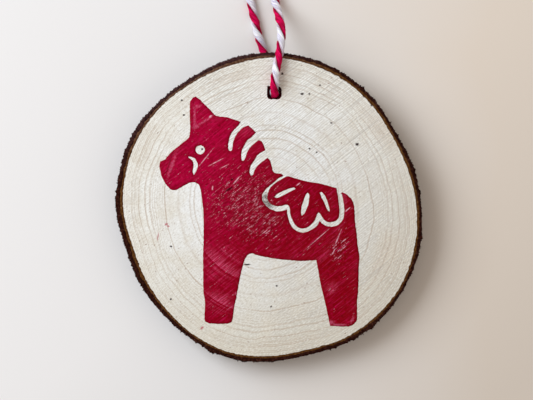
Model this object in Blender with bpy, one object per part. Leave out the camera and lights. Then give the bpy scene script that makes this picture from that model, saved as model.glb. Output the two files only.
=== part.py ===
"""A hanging ornament: a sawn branch slice with a printed folk horse and a loop of twine.

The slice lies face up on a surface (z = 0). It rests on its lower rim and on the twine that comes
out of the hole's back mouth, so it is tilted a little. The hole is on the +Y side, where the twine
leaves. Lengths in this file are in millimetres and MM turns them into Blender's metres.
"""

import math

import bmesh
import bpy
from mathutils import Vector
from mathutils.geometry import delaunay_2d_cdt

MM = 0.001

# Driving dimensions.
THICKNESS = 7.0
HOLE_DIAMETER = 3.6
HOLE_AT = (1.2, 29.1)
TWINE_DIAMETER = 2.0
TILT_DEGREES = 2.4
RIM_TO_CENTRE = 39.1
GAP = 0.3
FILM_THICKNESS = 0.2

# Where the slice's drawing centre and the hole's axis stand in the part's frame.
SLICE_CENTRE = (0.3, -0.1)
SWING_AXIS_AT = (1.5, 28.82)

# Radii about the drawing centre every 15 degrees, from +X towards +Y.
BARK_RADII = [
    38.5, 37.9, 37.2, 38.0, 38.7, 39.1, 39.2, 38.9, 38.4, 38.7, 39.4, 39.1,
    39.0, 37.9, 38.2, 38.3, 38.9, 39.6, 39.2, 38.7, 39.6, 40.0, 39.8, 39.5,
]
WOOD_RADII = [
    37.2, 36.3, 35.9, 36.6, 37.3, 37.7, 37.9, 37.3, 37.1, 37.4, 37.6, 37.4,
    37.0, 36.0, 36.2, 36.7, 37.5, 38.0, 37.6, 37.2, 38.1, 38.5, 38.6, 38.0,
]
RIM_SEGMENTS = 96
HOLE_SEGMENTS = 24

# Rings of points that share the wood's flat faces out evenly: radius and count.
INNER_RINGS = [(26.0, 36), (14.0, 18), (0.0, 1)]

# The bark's cross-section: share of its width outwards, and share of its height.
BARK_PROFILE = [(0.0, 0.0), (0.75, 0.0), (1.0, 0.08), (1.0, 0.93), (0.7, 1.0), (0.0, 1.0)]

# The horse's outline, clockwise, as smooth runs that meet at its corners.
PRINT_STEP = 0.6
HORSE_OUTLINE = [
    # ear and poll
    [(-18.7, 28.1), (-17.6, 27.3), (-16.3, 26.0), (-14.9, 24.6), (-13.8, 23.4)],
    # forelock
    [(-13.8, 23.4), (-12.5, 23.0), (-11.0, 22.9), (-9.7, 22.5), (-7.3, 21.7)],
    # first slit of the mane
    [(-7.3, 21.7), (-8.2, 20.6), (-9.2, 19.6), (-9.9, 18.5), (-10.3, 17.2), (-10.5, 15.9),
     (-10.4, 14.7), (-9.9, 14.3), (-9.4, 14.7), (-9.2, 15.9), (-8.9, 17.2), (-8.3, 18.5),
     (-7.5, 19.5), (-6.4, 20.4), (-5.4, 20.8)],
    # first lock
    [(-5.4, 20.8), (-4.6, 20.1), (-3.5, 19.1)],
    # second slit
    [(-3.5, 19.1), (-4.7, 17.9), (-5.7, 17.1), (-6.4, 15.9), (-7.0, 14.7), (-7.2, 13.4),
     (-7.1, 12.1), (-6.7, 11.8), (-6.3, 12.1), (-5.9, 13.1), (-5.4, 14.4), (-4.7, 15.4),
     (-3.7, 16.3), (-2.7, 17.1)],
    # second lock
    [(-2.7, 17.1), (-1.9, 16.6), (-1.1, 14.7)],
    # third slit
    [(-1.1, 14.7), (-2.3, 14.0), (-3.2, 13.3), (-3.9, 12.1), (-4.7, 10.9), (-5.1, 9.6),
     (-4.9, 8.3), (-4.5, 8.1), (-4.0, 8.6), (-3.7, 9.6), (-2.9, 10.7), (-1.9, 11.6),
     (-0.5, 12.6)],
    # third lock and withers
    [(-0.5, 12.6), (0.1, 11.9), (0.6, 10.1), (0.9, 9.1), (1.9, 8.7), (2.9, 8.6), (3.4, 8.2)],
    # clear band round the saddle: left, middle and right lobes
    [(3.4, 8.2), (2.1, 7.5), (0.9, 6.4), (-0.4, 5.4), (-1.3, 4.4), (-1.9, 3.3), (-1.9, 2.0),
     (-1.3, 1.0), (-0.4, 0.1), (0.6, -0.5), (1.9, -0.9), (3.2, -0.8), (4.4, -0.4)],
    [(4.4, -0.4), (4.4, -1.3), (4.7, -2.8), (5.2, -4.0), (5.9, -5.2), (7.0, -5.9),
     (8.2, -6.3), (9.5, -6.1), (10.7, -5.5), (12.0, -4.6), (12.7, -3.4)],
    [(12.7, -3.4), (13.3, -4.0), (14.3, -4.6), (15.5, -4.8), (16.8, -4.6), (17.8, -4.0),
     (18.6, -3.0), (18.9, -1.8), (19.0, -0.3), (18.8, 1.3), (18.6, 2.5), (18.2, 3.9)],
    # rump and hind leg
    [(18.2, 3.9), (19.1, 3.6), (20.4, 2.5), (21.1, 1.3), (21.4, -0.5), (21.5, -2.5),
     (21.7, -4.6), (22.0, -6.8), (22.2, -9.4), (22.5, -11.1), (22.7, -12.6), (22.5, -15.2),
     (22.4, -20.7), (22.1, -23.3), (22.1, -25.8), (22.1, -28.2), (21.4, -29.3), (20.6, -29.8),
     (19.1, -30.0), (17.3, -29.9), (15.4, -29.8)],
    [(15.4, -29.8), (15.2, -28.8), (14.8, -26.8), (14.3, -24.5), (13.7, -22.0), (13.0, -19.0),
     (12.3, -15.2), (11.9, -13.1)],
    # belly
    [(11.9, -13.1), (10.2, -13.2), (7.7, -13.3), (5.2, -13.1), (2.7, -12.9), (0.1, -12.5),
     (-1.9, -12.1), (-3.2, -11.8), (-4.4, -11.4), (-5.2, -11.6), (-5.8, -12.1), (-6.4, -13.1)],
    # fore leg and breast
    [(-6.4, -13.1), (-7.0, -15.2), (-7.5, -17.4), (-8.0, -20.0), (-8.5, -22.8), (-9.0, -25.0),
     (-9.4, -28.1), (-9.7, -28.8), (-10.5, -29.2), (-12.5, -29.3), (-14.5, -29.2),
     (-15.5, -29.1), (-16.2, -28.6), (-16.4, -27.8), (-16.3, -25.8), (-16.3, -23.3),
     (-16.6, -21.5), (-16.7, -18.2), (-16.7, -11.9), (-16.6, -8.1), (-16.6, -1.8),
     (-16.8, 0.8), (-17.0, 2.5), (-17.3, 4.6), (-17.6, 5.6), (-17.9, 6.1), (-18.6, 6.5)],
    # jaw, mouth and nose
    [(-18.6, 6.5), (-19.1, 6.6), (-20.1, 6.5), (-21.4, 5.9), (-22.6, 5.2), (-23.6, 4.7),
     (-24.6, 4.7), (-25.2, 5.1), (-26.2, 6.2), (-26.7, 7.1), (-27.2, 8.2), (-27.5, 9.6),
     (-27.7, 10.6), (-27.6, 11.4), (-27.3, 11.9), (-26.5, 12.1), (-25.7, 13.0), (-24.6, 14.2),
     (-23.1, 15.4), (-21.9, 16.4), (-20.6, 17.4), (-20.2, 17.9)],
    # brow and ear front
    [(-20.2, 17.9), (-20.0, 19.0), (-19.9, 20.2), (-20.0, 22.2), (-20.0, 26.3), (-19.6, 27.3),
     (-19.1, 27.9), (-18.7, 28.1)],
]
CHEEK_OUTLINE = [
    [(-20.6, 13.1), (-19.7, 13.0), (-18.8, 12.6), (-18.2, 11.6), (-18.0, 10.6), (-18.3, 9.6),
     (-18.8, 8.7), (-19.1, 8.3)],
    [(-19.1, 8.3), (-19.5, 9.1), (-19.3, 10.4), (-19.3, 11.4), (-19.7, 12.1), (-20.4, 12.6),
     (-20.6, 13.1)],
]
EYE_AT = (-17.5, 14.7)
EYE_HALF_WIDTH = 1.24
EYE_HALF_HEIGHT = 1.2
EYE_SEGMENTS = 16

# The printed island inside the clear band, clockwise, with three petals left clear in it.
SADDLE_OUTLINE = [
    [(4.7, 8.0), (3.7, 7.6), (2.5, 6.9), (1.4, 6.2), (0.5, 5.4), (0.1, 4.8), (-0.3, 3.8),
     (-0.5, 2.7), (-0.1, 1.6), (0.6, 1.0), (1.6, 0.6), (2.9, 0.6), (3.9, 0.9), (4.7, 0.9)],
    [(4.7, 0.9), (5.1, 0.3), (5.2, -0.5), (5.4, -1.8), (5.9, -3.0), (6.5, -4.1), (7.3, -4.8),
     (8.5, -5.1), (9.7, -4.7), (10.7, -3.9), (11.5, -2.8), (12.0, -1.5), (12.4, -1.0)],
    [(12.4, -1.0), (12.8, -1.3), (13.4, -2.3), (14.2, -3.2), (15.3, -3.5), (16.6, -3.2),
     (17.3, -2.5), (17.6, -1.3), (17.6, -0.3), (17.4, 1.5), (17.2, 3.0), (17.0, 4.0),
     (16.9, 5.0)],
    [(16.9, 5.0), (12.8, 6.1), (10.2, 6.5), (7.7, 7.1), (4.7, 8.0)],
]
PETAL_OUTLINES = [
    [[(1.1, 2.8), (1.9, 3.6), (3.4, 4.4), (5.2, 5.1), (6.3, 5.3), (6.7, 4.9)],
     [(6.7, 4.9), (6.1, 4.5), (4.7, 3.8), (3.2, 3.0), (1.9, 2.5), (1.1, 2.8)]],
    [[(9.7, 4.0), (10.1, 3.4), (10.1, 2.3), (9.9, 1.0), (9.2, -0.8), (8.7, -1.6), (8.1, -2.0)],
     [(8.1, -2.0), (7.9, -1.2), (7.9, -0.3), (8.3, 1.3), (8.8, 2.7), (9.3, 3.7), (9.7, 4.0)]],
    [[(12.6, 3.9), (13.0, 4.2), (13.5, 3.9), (14.3, 2.7), (14.9, 1.1), (15.3, -0.3),
      (15.2, -1.0)],
     [(15.2, -1.0), (14.5, -0.4), (13.8, 1.3), (13.1, 2.6), (12.6, 3.9)]],
]

# The twine's routes, from the swing axis: x and y across the surface, z above it.
ROUTE_STEP = 2.2
FRONT_ROUTE = [
    (0.0, -0.6, 6.46), (0.0, -0.65, 7.46), (0.0, -0.4, 9.08), (0.0, 0.46, 10.48),
    (0.05, 1.78, 11.45), (0.15, 3.37, 11.84), (0.4, 5.2, 11.8), (0.8, 7.3, 11.65),
    (1.25, 9.3, 11.6), (1.6, 11.4, 11.45), (1.75, 13.4, 10.8), (1.8, 15.4, 9.5),
    (1.6, 17.4, 7.7), (1.25, 19.4, 5.7), (0.75, 21.6, 3.75), (0.15, 24.2, 2.2),
    (-0.5, 27.2, 1.3), (-0.8, 30.5, 1.05), (-0.6, 35.0, 1.05), (0.1, 40.0, 1.05),
    (0.9, 45.0, 1.05), (1.3, 50.0, 1.05), (0.9, 55.0, 1.05), (-0.7, 60.0, 1.15),
    (-3.0, 64.4, 1.8), (-4.5, 67.6, 2.7),
]
BACK_ROUTE = [
    (0.0, -0.6, 6.16), (0.0, -0.55, 5.16), (-0.05, -0.16, 3.57), (-0.1, 0.8, 2.25),
    (-0.3, 2.2, 1.4), (-0.55, 3.82, 1.15), (-0.95, 6.0, 1.05), (-1.6, 8.2, 1.05),
    (-2.3, 10.1, 1.05), (-3.0, 12.0, 1.05), (-4.2, 15.6, 1.05), (-5.1, 19.7, 1.05),
    (-6.0, 23.5, 1.05), (-7.4, 28.0, 1.05), (-9.2, 33.0, 1.05), (-10.9, 38.0, 1.05),
    (-12.0, 43.0, 1.05), (-12.3, 48.0, 1.05), (-11.8, 53.0, 1.05), (-10.4, 58.0, 1.15),
    (-8.4, 63.5, 1.8), (-7.0, 67.6, 2.7),
]
KNOT_AT = (-5.75, 72.6, 3.0)
KNOT_HALF_SIZE = (4.0, 4.5, 2.9)
TAIL_ROUTES = {
    "twine_tail_a": [(-4.5, 77.6, 2.7), (-3.7, 80.0, 1.7), (-2.8, 83.0, 1.1), (-2.0, 88.5, 1.05)],
    "twine_tail_b": [(-7.0, 77.6, 2.7), (-8.1, 80.0, 1.7), (-9.4, 83.0, 1.1), (-10.6, 86.5, 1.05)],
}


def clear_scene():
    for old in list(bpy.data.objects):
        bpy.data.objects.remove(old, do_unlink=True)


def material(name, colour, roughness, metallic=0.0):
    made = bpy.data.materials.new(name)
    made.use_nodes = True
    shader = made.node_tree.nodes["Principled BSDF"]
    shader.inputs["Base Color"].default_value = (*colour, 1.0)
    shader.inputs["Roughness"].default_value = roughness
    shader.inputs["Metallic"].default_value = metallic
    return made


def catmull_rom(before, start, end, after, share):
    """The point at the given share of the way from start to end on a smooth curve."""
    low, high = (end - before) / 2, (after - start) / 2
    s2, s3 = share**2, share**3
    return (
        (2 * s3 - 3 * s2 + 1) * start
        + (s3 - 2 * s2 + share) * low
        + (3 * s2 - 2 * s3) * end
        + (s3 - s2) * high
    )


def smooth_run(route, step):
    """Points about step apart on the smooth open curve through the route's points."""
    knots = [Vector(p) for p in route]
    knots = [2 * knots[0] - knots[1], *knots, 2 * knots[-1] - knots[-2]]
    fine = []
    for i in range(1, len(knots) - 2):
        fine += [catmull_rom(*knots[i - 1:i + 3], share / 8) for share in range(8)]
    fine.append(knots[-2])
    walked = [0.0]
    for a, b in zip(fine, fine[1:]):
        walked.append(walked[-1] + (b - a).length)
    count = max(1, round(walked[-1] / step))
    points = []
    at = 0
    for k in range(count):
        target = walked[-1] * k / count
        while walked[at + 1] < target:
            at += 1
        share = (target - walked[at]) / (walked[at + 1] - walked[at])
        points.append(fine[at].lerp(fine[at + 1], share))
    points.append(fine[-1])
    return points


def closed_outline(runs):
    """One loop of points through runs that meet end to end."""
    loop = []
    for run in runs:
        loop += smooth_run(run, PRINT_STEP)[:-1]
    return loop


def ellipse(centre, half_width, half_height, segments):
    angles = [2 * math.pi * k / segments for k in range(segments)]
    return [
        Vector((centre[0] + half_width * math.cos(a), centre[1] + half_height * math.sin(a)))
        for a in angles
    ]


def radius_at(radii, angle):
    """The smooth closed curve through evenly spaced radii, at an angle in radians."""
    place = angle / (2 * math.pi) * len(radii)
    first = math.floor(place)
    around = [radii[(first + k) % len(radii)] for k in (-1, 0, 1, 2)]
    return catmull_rom(*around, place - first)


def rim(radii, offset):
    """The loop of points on a rim, grown outwards by offset."""
    loop = []
    for k in range(RIM_SEGMENTS):
        angle = 2 * math.pi * k / RIM_SEGMENTS
        radius = radius_at(radii, angle) + offset
        loop.append(Vector((radius * math.cos(angle), radius * math.sin(angle))))
    return loop


def add_object(name, data, finish, parent, location=(0, 0, 0)):
    made = bpy.data.objects.new(name, data)
    bpy.context.scene.collection.objects.link(made)
    made.parent = parent
    made.location = Vector(location) * MM
    data.materials.append(finish)
    return made


def add_empty(name, location):
    made = bpy.data.objects.new(name, None)
    bpy.context.scene.collection.objects.link(made)
    made.location = Vector(location) * MM
    return made


def mesh_from(bm, name, sharp_degrees=35):
    bmesh.ops.recalc_face_normals(bm, faces=bm.faces)
    mesh = bpy.data.meshes.new(name)
    bm.to_mesh(mesh)
    bm.free()
    mesh.shade_smooth()
    mesh.set_sharp_from_angle(angle=math.radians(sharp_degrees))
    return mesh


def is_inside(point, loops):
    """Whether a point is within the rim and in none of its holes, by counting crossings."""
    crossings = 0
    for loop in loops:
        for a, b in zip(loop, loop[1:] + loop[:1]):
            if (a.y > point.y) == (b.y > point.y):
                continue
            if point.x < a.x + (point.y - a.y) * (b.x - a.x) / (b.y - a.y):
                crossings += 1
    return crossings % 2 == 1


def flat_mesh(name, loops, low, high, inner_points=()):
    """A solid with flat faces at two heights. The first loop is its rim, the others are holes."""
    points = []
    edges = []
    for loop in loops:
        first = len(points)
        points += loop
        edges += [(first + k, first + (k + 1) % len(loop)) for k in range(len(loop))]
    points += inner_points
    whole_hull = 0
    flat, _, faces, *_ = delaunay_2d_cdt(points, edges, [], whole_hull, 1e-6)
    bm = bmesh.new()
    corners = [bm.verts.new((p.x * MM, p.y * MM, low * MM)) for p in flat]
    for face in faces:
        if is_inside(sum((flat[k] for k in face), Vector((0, 0))) / 3, loops):
            bm.faces.new([corners[k] for k in face])
    raised = bmesh.ops.extrude_face_region(bm, geom=bm.faces[:])["geom"]
    upper = [item for item in raised if isinstance(item, bmesh.types.BMVert)]
    bmesh.ops.translate(bm, verts=upper, vec=(0, 0, (high - low) * MM))
    return mesh_from(bm, name)


def build_wood_disc(tilt):
    hole = ellipse(HOLE_AT, HOLE_DIAMETER / 2, HOLE_DIAMETER / 2, HOLE_SEGMENTS)
    inner = []
    for radius, count in INNER_RINGS:
        inner += ellipse((0, 0), radius, radius, count)
    mesh = flat_mesh("wood_disc", [rim(WOOD_RADII, -GAP / 2), hole], 0, THICKNESS, inner)
    finish = material("pale_wood", (0.72, 0.66, 0.54), 0.7)
    add_object("wood_disc", mesh, finish, tilt, (0, RIM_TO_CENTRE, 0))


def build_bark_ring(tilt):
    bm = bmesh.new()
    rings = []
    for k in range(RIM_SEGMENTS):
        angle = 2 * math.pi * k / RIM_SEGMENTS
        inner = radius_at(WOOD_RADII, angle) + GAP / 2
        outer = radius_at(BARK_RADII, angle)
        ring = []
        for across, up in BARK_PROFILE:
            radius = inner + across * (outer - inner)
            at = Vector((radius * math.cos(angle), radius * math.sin(angle), up * THICKNESS))
            ring.append(bm.verts.new(at * MM))
        rings.append(ring)
    sides = len(BARK_PROFILE)
    for k, ring in enumerate(rings):
        following = rings[(k + 1) % RIM_SEGMENTS]
        for j in range(sides):
            n = (j + 1) % sides
            bm.faces.new([ring[j], ring[n], following[n], following[j]])
    finish = material("dark_bark", (0.05, 0.028, 0.02), 0.95)
    add_object("bark_ring", mesh_from(bm, "bark_ring"), finish, tilt, (0, RIM_TO_CENTRE, 0))


def build_prints(tilt):
    low = THICKNESS + GAP
    high = low + FILM_THICKNESS
    ink = material("crimson_ink", (0.36, 0.005, 0.03), 0.6)
    eye = ellipse(EYE_AT, EYE_HALF_WIDTH, EYE_HALF_HEIGHT, EYE_SEGMENTS)
    horse = [closed_outline(HORSE_OUTLINE), eye, closed_outline(CHEEK_OUTLINE)]
    saddle = [closed_outline(runs) for runs in (SADDLE_OUTLINE, *PETAL_OUTLINES)]
    for name, loops in (("horse_print", horse), ("saddle_print", saddle)):
        mesh = flat_mesh(name, loops, low, high)
        add_object(name, mesh, ink.copy(), tilt, (0, RIM_TO_CENTRE, 0))


def twine_tube(name, route, swing, finish):
    curve = bpy.data.curves.new(name, "CURVE")
    curve.dimensions = "3D"
    curve.bevel_depth = TWINE_DIAMETER / 2 * MM
    curve.bevel_resolution = 2
    curve.use_fill_caps = True
    points = smooth_run(route, ROUTE_STEP)
    spline = curve.splines.new("POLY")
    spline.points.add(len(points) - 1)
    for place, at in zip(spline.points, points):
        place.co = (*(at * MM), 1.0)
    spline.use_smooth = True
    add_object(name, curve, finish, swing)


def build_knot(swing, finish):
    bm = bmesh.new()
    bmesh.ops.create_uvsphere(bm, u_segments=20, v_segments=12, radius=MM)
    bmesh.ops.scale(bm, vec=KNOT_HALF_SIZE, verts=bm.verts)
    add_object("twine_knot", mesh_from(bm, "twine_knot", 60), finish, swing, KNOT_AT)


def build_twine(swing):
    finish = material("red_white_twine", (0.75, 0.35, 0.4), 0.9)
    twine_tube("twine_front_run", FRONT_ROUTE, swing, finish.copy())
    twine_tube("twine_back_run", BACK_ROUTE, swing, finish.copy())
    build_knot(swing, finish.copy())
    for name, route in TAIL_ROUTES.items():
        twine_tube(name, route, swing, finish.copy())


def main():
    clear_scene()
    tilt = add_empty("slice_tilt", (SLICE_CENTRE[0], SLICE_CENTRE[1] - RIM_TO_CENTRE, 0))
    tilt.rotation_euler.x = math.radians(TILT_DEGREES)
    swing = add_empty("twine_swing", (*SWING_AXIS_AT, 0))
    build_wood_disc(tilt)
    build_bark_ring(tilt)
    build_prints(tilt)
    build_twine(swing)


main()
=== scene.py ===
"""The looks of a printed wood slice ornament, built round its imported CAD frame.

Lengths are in millimetres, and MM turns them into Blender's metres. The slice's own pieces are
drawn flat, with their back at z = 0 about the slice's drawing centre, and SLICE lays them in the
part's frame, tilted on the twine that runs under the slice's upper end.
"""

import math
import random

import bpy
import numpy as np
from mathutils import Matrix, Vector, noise
from mathutils.geometry import delaunay_2d_cdt


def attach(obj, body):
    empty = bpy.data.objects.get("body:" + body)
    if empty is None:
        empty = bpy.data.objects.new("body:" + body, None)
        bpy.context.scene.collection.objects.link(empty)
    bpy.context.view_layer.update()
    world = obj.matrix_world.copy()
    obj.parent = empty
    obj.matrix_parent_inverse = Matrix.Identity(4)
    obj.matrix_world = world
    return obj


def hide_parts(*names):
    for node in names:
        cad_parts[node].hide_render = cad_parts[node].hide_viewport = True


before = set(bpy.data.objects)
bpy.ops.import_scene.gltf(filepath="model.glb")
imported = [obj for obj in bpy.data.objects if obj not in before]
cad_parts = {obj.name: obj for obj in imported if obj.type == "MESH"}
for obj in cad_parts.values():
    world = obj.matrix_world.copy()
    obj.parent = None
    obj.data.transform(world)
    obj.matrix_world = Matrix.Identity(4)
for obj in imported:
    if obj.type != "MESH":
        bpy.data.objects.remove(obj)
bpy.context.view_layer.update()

MM = 0.001

# Sizes that the frame's nodes don't say by themselves.
THICKNESS = 7.0
PRINT_TOP = THICKNESS + 0.5
TILT_DEGREES = 2.4
RIM_TO_CENTRE = 39.1
SLICE_PIVOT = Vector((0.3, -39.2, 0.0))
SWING_AXIS = Vector((1.5, 28.82, 0.0))

# The middle of the growth rings, and the saw marks' rise in degrees from +X and their spacing.
PITH = Vector((-0.6, 1.3))
SAW_TURN = 38.0
SAW_PITCH = 0.52

SLICE = (
    Matrix.Translation(SLICE_PIVOT)
    @ Matrix.Rotation(math.radians(TILT_DEGREES), 4, "X")
    @ Matrix.Translation((0, RIM_TO_CENTRE, 0))
)
FLATTEN = SLICE.inverted()

# ---------------- small helpers

CURVE_STEPS = 16


def noise_at(x, y, z=0.0, octaves=3):
    """Smooth noise between about -1 and 1, the same on each run."""
    return noise.fractal(Vector((x, y, z)), 1.0, 2.0, octaves)


def smoothstep(low, high, value):
    share = min(1.0, max(0.0, (value - low) / (high - low)))
    return share * share * (3 - 2 * share)


def catmull_rom(before, start, end, after, share):
    """The point at the given share of the way from start to end on a smooth curve."""
    low, high = (end - before) / 2, (after - start) / 2
    s2, s3 = share**2, share**3
    return (
        (2 * s3 - 3 * s2 + 1) * start
        + (s3 - 2 * s2 + share) * low
        + (3 * s2 - 2 * s3) * end
        + (s3 - s2) * high
    )


def smooth_run(route, step):
    """Points about step apart on the smooth open curve through the route's points."""
    knots = [Vector(p) for p in route]
    knots = [2 * knots[0] - knots[1], *knots, 2 * knots[-1] - knots[-2]]
    fine = []
    for i in range(1, len(knots) - 2):
        around = knots[i - 1:i + 3]
        fine += [catmull_rom(*around, part / CURVE_STEPS) for part in range(CURVE_STEPS)]
    fine.append(knots[-2])
    walked = [0.0]
    for a, b in zip(fine, fine[1:]):
        walked.append(walked[-1] + (b - a).length)
    count = max(1, round(walked[-1] / step))
    points = []
    at = 0
    for k in range(count):
        target = walked[-1] * k / count
        while walked[at + 1] < target:
            at += 1
        share = (target - walked[at]) / (walked[at + 1] - walked[at])
        points.append(fine[at].lerp(fine[at + 1], share))
    points.append(fine[-1])
    return points


def make_piece(name, points, faces, materials, face_materials=None, attributes=None):
    """A mesh object from points in millimetres in the part's frame."""
    mesh = bpy.data.meshes.new(name)
    mesh.from_pydata([tuple(Vector(p) * MM) for p in points], [], faces)
    for made in materials:
        mesh.materials.append(made)
    if face_materials is not None:
        mesh.polygons.foreach_set("material_index", face_materials)
    for key, values in (attributes or {}).items():
        kind = "FLOAT_VECTOR" if np.ndim(values) == 2 else "FLOAT"
        field = mesh.attributes.new(key, kind, "POINT")
        field.data.foreach_set("vector" if kind != "FLOAT" else "value", np.ravel(values))
    mesh.validate()
    mesh.shade_smooth()
    piece = bpy.data.objects.new(name, mesh)
    bpy.context.scene.collection.objects.link(piece)
    return piece


def finish_piece(piece, body, slot, *nodes):
    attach(piece, body)
    if nodes:
        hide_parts(*nodes)


# ---------------- node materials

RAGGED_GRAIN = 3.1


class Nodes:
    """Short words for building a material's node tree."""

    def __init__(self, name):
        self.material = bpy.data.materials.new(name)
        self.material.use_nodes = True
        self.tree = self.material.node_tree
        self.shader = self.tree.nodes["Principled BSDF"]

    def new(self, kind, inputs=None, **settings):
        """A node with its settings, and a value or a link for each of the given inputs."""
        node = self.tree.nodes.new("ShaderNode" + kind)
        for name, value in settings.items():
            setattr(node, name, value)
        for key, value in (inputs or {}).items():
            self.feed(node.inputs[key], value)
        return node

    def feed(self, socket, value):
        if isinstance(value, bpy.types.NodeSocket):
            self.tree.links.new(value, socket)
        elif isinstance(value, tuple) and len(value) == 3 and socket.type == "RGBA":
            socket.default_value = (*value, 1.0)
        else:
            socket.default_value = value

    def math(self, operation, a, b=0.0):
        return self.new("Math", {0: a, 1: b}, operation=operation).outputs[0]

    def plus(self, a, b):
        return self.math("ADD", a, b)

    def times(self, a, b):
        return self.math("MULTIPLY", a, b)

    def mix(self, share, a, b, blend="MIX"):
        """Colour a at share 0 and colour b at share 1."""
        inputs = {0: share, 6: a, 7: b}
        return self.new("Mix", inputs, data_type="RGBA", blend_type=blend).outputs[2]

    def place(self, scale):
        """The place on the piece in millimetres, scaled."""
        return self.scaled(self.new("TexCoord").outputs["Object"], [s / MM for s in scale])

    def flat(self, scale, turn=0.0):
        """The place in the slice's own frame, turned in degrees about its axis and scaled."""
        place = self.attribute("flat", as_vector=True)
        turned = {"Vector": place, "Rotation": (0, 0, math.radians(turn))}
        return self.scaled(self.new("Mapping", turned, vector_type="POINT").outputs[0], scale)

    def across_and_along(self, vector):
        """The X and Y of a vector as two values."""
        node = self.new("SeparateXYZ", {0: vector})
        return node.outputs[0], node.outputs[1]

    def marks(self, shapes, ragged=0.35, soft=0.6):
        """1 in each mark and 0 away from it. A mark is x, y, half length, half width and turn."""
        flat = self.scaled(self.attribute("flat", as_vector=True), (1.0, 1.0, 0.0))
        nearest = None
        for x, y, half_length, half_width, turn in shapes:
            lie = {
                "Vector": flat, "Location": (x, y, 0.0), "Rotation": (0, 0, math.radians(turn)),
                "Scale": (half_length, half_width, 1.0),
            }
            local = self.new("Mapping", lie, vector_type="TEXTURE").outputs[0]
            reach = self.new("VectorMath", {0: local}, operation="LENGTH").outputs["Value"]
            nearest = reach if nearest is None else self.math("MINIMUM", nearest, reach)
        torn = self.math("SUBTRACT", self.noise(flat, RAGGED_GRAIN, 2.0), 0.5)
        nearest = self.plus(nearest, self.times(torn, 4.0 * ragged))
        falling = {
            "Value": nearest, "From Min": 1.0 - soft / 2, "From Max": 1.0 + soft / 2,
            "To Min": 1.0, "To Max": 0.0,
        }
        return self.new("MapRange", falling).outputs[0]

    def attribute(self, name, as_vector=False):
        node = self.new("Attribute", attribute_name=name)
        return node.outputs["Vector" if as_vector else "Fac"]

    def scaled(self, vector, scale):
        return self.new("VectorMath", {0: vector, 1: scale}, operation="MULTIPLY").outputs[0]

    def noise(self, place, scale=1.0, detail=3.0, roughness=0.5, one_way=False):
        """Noise by a place, or one way by a single value."""
        grain = {"Scale": scale, "Detail": detail, "Roughness": roughness}
        grain["W" if one_way else "Vector"] = place
        return self.new("TexNoise", grain, noise_dimensions="1D" if one_way else "3D").outputs[0]

    def mottle(self, scale, detail=3.0, roughness=0.5):
        """Noise over the slice, alike in all directions."""
        return self.noise(self.flat((scale, scale, scale)), 1.0, detail, roughness)

    def strokes(self, along, across, detail, roughness=0.5, turn=SAW_TURN):
        """Noise over the slice, stretched in one direction."""
        return self.noise(self.flat((along, across, 1.0), -turn), 1.0, detail, roughness)

    def rising(self, value, low, high, most=1.0):
        """0 up to a low value, then rising to the most at a high one."""
        return self.ramp(value, [(low, 0.0), (high, most)])

    def ramp(self, value, stops):
        """Grey or colour by value: stops are (position, grey or colour)."""
        node = self.new("ValToRGB", {0: value})
        marks = node.color_ramp.elements
        while len(marks) < len(stops):
            marks.new(0.5)
        for mark, (position, colour) in zip(marks, stops):
            mark.position = position
            mark.color = (*colour, 1.0) if isinstance(colour, tuple) else (*[colour] * 3, 1.0)
        return node.outputs[0]

    def bump(self, height, distance, strength=1.0, under=None):
        """A bump of the given height in millimetres."""
        relief = {"Height": height, "Distance": distance * MM, "Strength": strength}
        if under is not None:
            relief["Normal"] = under
        return self.new("Bump", relief).outputs[0]

    def finish(self, colour, roughness, specular, normal=None):
        surface = {"Base Color": colour, "Roughness": roughness, "Specular IOR Level": specular}
        if normal is not None:
            surface["Normal"] = normal
        for name, value in surface.items():
            self.feed(self.shader.inputs[name], value)
        return self.material


# ---------------- camera, lights, floor

# The camera looks straight down on the printed face, whose middle is FACE_HEIGHT up.
FACE_HEIGHT = 8.6
CAMERA_HEIGHT = 400.0
VIEW_WIDTH = 134.7
VIEW_CENTRE = (-0.46, 1.62)
SENSOR_WIDTH = 36.0

# A cool window at the upper left and a warm room. The window's place and size are in metres.
WINDOW_AT = (-0.52, 0.28, 0.50)
WINDOW_SIZE = (0.52, 0.52)
WINDOW_WATTS = 5.5
WINDOW_COLOUR = (0.90, 0.98, 1.06)
ROOM_COLOUR = (1.0, 0.91, 0.83, 1.0)
ROOM_STRENGTH = 0.56
FLOOR_REACH = 900


def make_camera():
    data = bpy.data.cameras.new("camera")
    data.sensor_width = SENSOR_WIDTH
    data.lens = SENSOR_WIDTH * CAMERA_HEIGHT / VIEW_WIDTH
    data.clip_start = 0.01
    camera = bpy.data.objects.new("camera", data)
    camera.location = Vector((*VIEW_CENTRE, FACE_HEIGHT + CAMERA_HEIGHT)) * MM
    bpy.context.scene.collection.objects.link(camera)
    bpy.context.scene.camera = camera


def make_light(name, at, size, watts, colour):
    data = bpy.data.lights.new(name, "AREA")
    data.shape = "RECTANGLE"
    data.size, data.size_y = size
    data.energy = watts
    data.color = colour
    light = bpy.data.objects.new(name, data)
    light.location = at
    light.rotation_euler = (-Vector(at)).to_track_quat("-Z", "Y").to_euler()
    bpy.context.scene.collection.objects.link(light)


def make_stage():
    scene = bpy.context.scene
    scene.view_settings.view_transform = "Standard"
    world = bpy.data.worlds.new("world")
    world.use_nodes = True
    background = world.node_tree.nodes["Background"]
    background.inputs["Color"].default_value = ROOM_COLOUR
    background.inputs["Strength"].default_value = ROOM_STRENGTH
    scene.world = world
    make_light("window", WINDOW_AT, WINDOW_SIZE, WINDOW_WATTS, WINDOW_COLOUR)
    corners = [(x * FLOOR_REACH, y * FLOOR_REACH, 0) for x, y in ((-1, -1), (1, -1), (1, 1), (-1, 1))]
    floor = make_piece("floor", corners, [(0, 1, 2, 3)], [floor_material()])


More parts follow.
